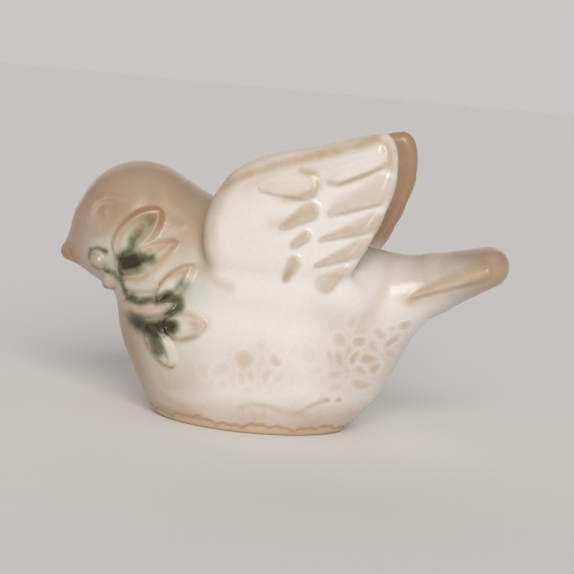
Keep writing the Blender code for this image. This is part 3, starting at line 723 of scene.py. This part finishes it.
def press_onto(piece, form, rounds, settle):
    """Move each vertex onto the form, with the skin evened out before each of the rounds."""
    mesh = piece.data
    points = figure_points(mesh)
    edges = np.empty(len(mesh.edges) * 2, np.int32)
    mesh.edges.foreach_get("vertices", edges)
    edges = edges.reshape(-1, 2)
    neighbours = np.bincount(edges.ravel(), minlength=len(points))[:, None]
    for _ in range(rounds):
        total = np.zeros_like(points)
        for axis in range(3):
            total[:, axis] = (np.bincount(edges[:, 0], points[edges[:, 1], axis], len(points))
                              + np.bincount(edges[:, 1], points[edges[:, 0], axis], len(points)))
        points += 0.5 * (total / neighbours - points)
        for _ in range(settle):
            value, gradient = slope(form, points)
            steepness = np.maximum((gradient**2).sum(axis=1), LEAST_STEEPNESS)
            move = -np.clip(value, -MOST_MOVE, MOST_MOVE) / steepness
            points += move[:, None] * gradient
    mesh.vertices.foreach_set("co", (points * UNIT).astype(np.float32).ravel())
    mesh.update()


def strokes(p, rows):
    """The strongest of the strokes at each point."""
    amount = np.zeros(len(p))
    for points, half_width, strength in rows:
        nearest = stroke(p, points)[0]
        amount = np.maximum(amount, strength * np.exp(-(nearest / half_width)**2))
    return amount


def clouds(p, rows):
    """The strongest of the soft round patches at each point."""
    amount = np.zeros(len(p))
    for centre, radii, strength in rows:
        reach = ((p[:, 0] - centre[0]) / radii[0])**2 + ((p[:, 2] - centre[1]) / radii[1])**2
        amount = np.maximum(amount, strength * np.exp(-reach))
    return amount


def foot_line(p):
    """Height of the glaze's wavy lower end around the foot."""
    angle = np.arctan2(p[:, 1] * 1.2, p[:, 0])
    waves = [height * np.sin(count * angle + turn) for height, count, turn in FOOT_LINE_WAVES]
    return FOOT_LINE_HEIGHT + np.sum(waves, axis=0)


def thin_glaze(p, outer, cells):
    """How far the glaze has thinned to tan: on feathers, in the lace, along strokes and on the eyes, with one
    stroke of painted shade on the wing's middle.
    """
    off_middle = aside(p, 1.0, 4.0)
    tan = np.max([feather_tan(p, *row[:4], row[5]) for row in FEATHERS], axis=0) * outer
    tan = np.maximum(tan, LACE_TAN * cells)
    tan = np.maximum(tan, strokes(p, TAN_STROKES) * off_middle)
    reach = np.hypot(p[:, 0] - EYE[0], p[:, 2] - EYE[1])
    return np.maximum(tan, np.exp(-(reach / EYE_TAN)**2) * off_middle)


def warm_and_shade_tone(p, upper):
    """How warm the white of the glaze is, partly a warmer glaze and partly painted shade, before the lace and
    the mint of the sprig.
    """
    x, z = p[:, 0], p[:, 2]
    warm = np.maximum(clouds(p, WARM_AND_SHADE_CLOUDS), UPPER_WARM_AND_SHADE * upper)
    for strength, along_x, along_z in WARM_AND_SHADE_SLOPES:
        warm = np.maximum(warm, strength * ease(*along_x, x) * ease(*along_z, z))
    return warm


def sprig_tones(p):
    """The shares of orange, mint, green and berry in and around the sprig."""
    near = near_side(p)
    rims = np.zeros(len(p))
    for row, axes in zip(LEAVES, LEAF_AXES):
        _, pad, rim = leaf(p, axes, *row[2:])
        rims = np.maximum(rims * (1 - pad * near), rim * near)
    berry = np.zeros(len(p))
    for centre, (_, radii) in zip(BERRY_CENTRES, BERRIES):
        berry = np.maximum(berry, ease(0.6, -0.2, ball(p, centre, radii)))
    orange = np.maximum(0.4 * rims, strokes(p, ORANGE_AND_SHADE_STROKES))
    orange = np.maximum(orange, strokes(p, LEAF_STROKES) * near)
    green = strokes(p, GREEN_POOLS) * near * (1 - 0.6 * orange) * (1 - 0.9 * berry)
    mint = clouds(p, MINT_CLOUDS) * near * (1 - 0.7 * rims)
    return orange, mint, green, berry


def glaze_masks(p):
    """The share of each tone of the glaze, of bare clay and of the painted shade in the warm and brown tones,
    at each point.
    """
    z = p[:, 2]
    outer = wing_face(p)
    upper = ease(*UPPER_LEVELS, z) * (1 - outer)
    _, cells, net = lace(p)
    orange, mint, green, berry = sprig_tones(p)
    line = foot_line(p)
    brown = FOOT_LINE_BROWN * np.exp(-((z - line) / FOOT_LINE_WIDTH)**2)
    brown = np.maximum(brown, strokes(p, BROWN_AND_SHADE_STROKES))
    # Brown painted shade on the upper parts away from the middle, chiefly the wings' inner faces
    brown = np.maximum(brown, INNER_WING_PAINTED_SHADE * upper * aside(p, *INNER_WING_SIDE))
    return {
        "tan": thin_glaze(p, outer, cells),
        "orange": orange,
        "mint": mint,
        "green": green,
        "brown": brown,
        "clay": ease(*CLAY_EDGE, z - line),
        "warm": warm_and_shade_tone(p, upper) * (1 - 0.8 * net) * (1 - mint),
        "berry": berry,
    }


class Nodes:
    """Short calls for building a material's nodes."""

    def __init__(self, material):
        self.tree = material.node_tree

    def add(self, kind, **values):
        node = self.tree.nodes.new(kind)
        for name, value in values.items():
            setattr(node, name, value)
        return node

    def put(self, socket, value):
        if isinstance(value, bpy.types.NodeSocket):
            self.tree.links.new(value, socket)
        else:
            socket.default_value = value

    def math(self, operation, a, b=0.0, clamp=False):
        node = self.add("ShaderNodeMath", operation=operation, use_clamp=clamp)
        self.put(node.inputs[0], a)
        self.put(node.inputs[1], b)
        return node.outputs[0]

    def share(self, name):
        node = self.add("ShaderNodeAttribute", attribute_name=name)
        return node.outputs["Fac"]

    def noise(self, place, scale, detail=2.0, roughness=0.5):
        node = self.add("ShaderNodeTexNoise")
        self.put(node.inputs["Vector"], place)
        self.put(node.inputs["Scale"], scale)
        self.put(node.inputs["Detail"], detail)
        self.put(node.inputs["Roughness"], roughness)
        return node.outputs["Fac"]

    def between(self, value, low, high, to_low=0.0, to_high=1.0):
        node = self.add("ShaderNodeMapRange", interpolation_type="SMOOTHSTEP")
        for socket, number in zip(node.inputs, (value, low, high, to_low, to_high)):
            self.put(socket, number)
        return node.outputs[0]

    def mix(self, share, a, b, blend="MIX"):
        node = self.add("ShaderNodeMix", data_type="RGBA", blend_type=blend)
        self.put(node.inputs[0], share)
        self.put(node.inputs[6], a)
        self.put(node.inputs[7], b)
        return node.outputs[2]


# The tones of the glaze and the clay; the warm and the brown tone also serve as painted shade
WHITE = (0.80, 0.75, 0.71, 1.0)
WARM_GLAZE_AND_SHADE = (0.44, 0.315, 0.222, 1.0)
TAN = (0.54, 0.40, 0.26, 1.0)
ORANGE = (0.53, 0.335, 0.18, 1.0)
MINT = (0.53, 0.56, 0.43, 1.0)
LEAF_GREEN = (0.19, 0.20, 0.105, 1.0)
DARK_GREEN = (0.040, 0.030, 0.012, 1.0)
BROWN_LINE_AND_SHADE = (0.36, 0.205, 0.115, 1.0)
CLAY = (0.60, 0.45, 0.32, 1.0)
BERRY = (0.36, 0.255, 0.155, 1.0)


def glaze_material():
    """White glaze that thins to tan over edges, with green pooled in the sprig, bare clay at the foot, and
    warm and brown painted shade on the head, the left edges and the wings' inner faces.
    """
    material = bpy.data.materials.new("poured_glaze")
    material.use_nodes = True
    shader = material.node_tree.nodes["Principled BSDF"]
    n = Nodes(material)
    place = n.add("ShaderNodeTexCoord").outputs["Object"]
    grain = n.noise(place, 3200.0, 2.0)
    mottle = n.noise(place, 420.0, 3.0, 0.6)
    cloud = n.noise(place, 110.0, 2.0)
    uneven = n.between(mottle, 0.3, 0.7, 0.78, 1.12)
    smooth = n.between(cloud, 0.3, 0.7, 0.9, 1.05)
    stain = n.between(cloud, 0.5, 0.75, 0.0, 0.08)
    # The warm tone, partly painted shade, evened and stained by the noise
    warm = n.math("ADD", n.math("MULTIPLY", n.share("warm"), smooth), stain, True)
    colour = n.mix(warm, WHITE, WARM_GLAZE_AND_SHADE)
    colour = n.mix(n.math("MULTIPLY", n.share("tan"), uneven, True), colour, TAN)
    colour = n.mix(n.math("MULTIPLY", n.share("berry"), 0.8), colour, BERRY)
    colour = n.mix(n.math("MULTIPLY", n.share("mint"), uneven, True), colour, MINT)
    colour = n.mix(n.math("MULTIPLY", n.share("orange"), uneven, True), colour, ORANGE)
    green = n.math("MULTIPLY", n.share("green"), n.between(mottle, 0.25, 0.75, 0.75, 1.2))
    colour = n.mix(n.between(green, 0.05, 0.6), colour, LEAF_GREEN)
    colour = n.mix(n.between(green, 0.38, 0.95), colour, DARK_GREEN)
    colour = n.mix(n.share("clay"), colour, CLAY)
    # The brown of the glaze's lower end and of the strokes, with the brown painted shade
    colour = n.mix(n.share("brown"), colour, BROWN_LINE_AND_SHADE)
    speckle = n.mix(grain, (0.93, 0.93, 0.93, 1.0), (1.05, 1.05, 1.05, 1.0))
    colour = n.mix(1.0, colour, speckle, "MULTIPLY")
    n.put(shader.inputs["Base Color"], colour)
    gloss = n.between(mottle, 0.3, 0.7, 0.21, 0.30)
    n.put(shader.inputs["Roughness"], n.math("ADD", gloss, n.math("MULTIPLY", n.share("clay"), 0.35)))
    height = n.math("ADD", n.math("MULTIPLY", grain, 0.12), mottle)
    bump = n.add("ShaderNodeBump")
    bump.inputs["Strength"].default_value = 0.35
    bump.inputs["Distance"].default_value = 0.00015
    n.put(bump.inputs["Height"], height)
    n.put(shader.inputs["Normal"], bump.outputs["Normal"])
    return material


def build_dove():
    """The dove's visible skin: finer than its solid, on the same form, with the glaze's masks."""
    piece = bpy.data.objects.new("dove_skin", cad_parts["dove"].data.copy())
    bpy.context.scene.collection.objects.link(piece)
    piece.data.materials.clear()
    remesh(piece, SKIN_VOXEL)
    press_onto(piece, carved_form, 3, 2)
    press_onto(piece, carved_form, 1, 1)
    mesh = piece.data
    points = figure_points(mesh)
    normals = slope(carved_form, points)[1]
    normals /= np.linalg.norm(normals, axis=1)[:, None]
    mesh.shade_smooth()
    mesh.normals_split_custom_set_from_vertices(normals)
    for name, values in glaze_masks(points).items():
        layer = mesh.attributes.new(name, "FLOAT", "POINT")
        layer.data.foreach_set("value", values.astype(np.float32))
    mesh.materials.append(glaze_material())
    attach(piece, "root")
    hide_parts("dove")
    return piece


def add_floor():
    """A plain pale floor far beyond the view."""
    mesh = bpy.data.meshes.new("floor")
    corners = [(FLOOR_REACH * x, FLOOR_REACH * y, 0.0) for x, y in ((-1, -1), (1, -1), (1, 1), (-1, 1))]
    mesh.from_pydata(corners, [], [(0, 1, 2, 3)])
    floor = bpy.data.objects.new("floor", mesh)
    bpy.context.scene.collection.objects.link(floor)
    material = bpy.data.materials.new("pale_paper")
    material.use_nodes = True
    shader = material.node_tree.nodes["Principled BSDF"]
    shader.inputs["Base Color"].default_value = FLOOR_COLOUR
    shader.inputs["Roughness"].default_value = 0.9
    mesh.materials.append(material)


def add_sun(name, direction, strength, spread, colour):
    """A broad far light that comes from a direction."""
    light = bpy.data.lights.new(name, "SUN")
    light.energy = strength
    light.angle = np.radians(spread)
    light.color = colour
    lamp = bpy.data.objects.new(name, light)
    lamp.rotation_euler = Vector(direction).to_track_quat("Z", "Y").to_euler()
    bpy.context.scene.collection.objects.link(lamp)


def add_lights():
    """A broad soft key from the camera's side, weak light from behind and a pale sky that is dimmer above."""
    add_sun("key", *KEY_SUN)
    add_sun("rear", *REAR_SUN)
    world = bpy.data.worlds.new("studio")
    world.use_nodes = True
    tree = world.node_tree
    place = tree.nodes.new("ShaderNodeTexCoord")
    split = tree.nodes.new("ShaderNodeSeparateXYZ")
    ramp = tree.nodes.new("ShaderNodeMapRange")
    for name, number in zip(("From Min", "From Max", "To Min", "To Max"), SKY_LEVELS + SKY_STRENGTH):
        ramp.inputs[name].default_value = number
    tree.links.new(place.outputs["Generated"], split.inputs[0])
    tree.links.new(split.outputs["Z"], ramp.inputs["Value"])
    sky = tree.nodes["Background"]
    sky.inputs["Color"].default_value = SKY_COLOUR
    tree.links.new(ramp.outputs[0], sky.inputs["Strength"])
    bpy.context.scene.world = world


def add_camera():
    """The camera at the photograph's angle."""
    azimuth, elevation, roll = np.radians(CAMERA_ANGLES)
    level = np.cos(elevation)
    back = Vector((np.sin(azimuth) * level, -np.cos(azimuth) * level, np.sin(elevation)))
    right = Vector((np.cos(azimuth), np.sin(azimuth), 0.0))
    up = back.cross(right)
    across = right * np.cos(roll) + up * np.sin(roll)
    upward = up * np.cos(roll) - right * np.sin(roll)
    camera = bpy.data.cameras.new("camera")
    camera.sensor_width = 36.0
    camera.lens = CAMERA_LENS
    camera.clip_start = 0.01
    camera.clip_end = 60.0
    holder = bpy.data.objects.new("camera", camera)
    turn = Matrix((across, upward, back)).transposed().to_4x4()
    holder.matrix_world = Matrix.Translation(Vector(CAMERA_AIM) + back * CAMERA_DISTANCE) @ turn
    bpy.context.scene.collection.objects.link(holder)
    bpy.context.scene.camera = holder


add_camera()
add_lights()
add_floor()
build_dove()
bpy.context.scene.view_settings.view_transform = "Standard"
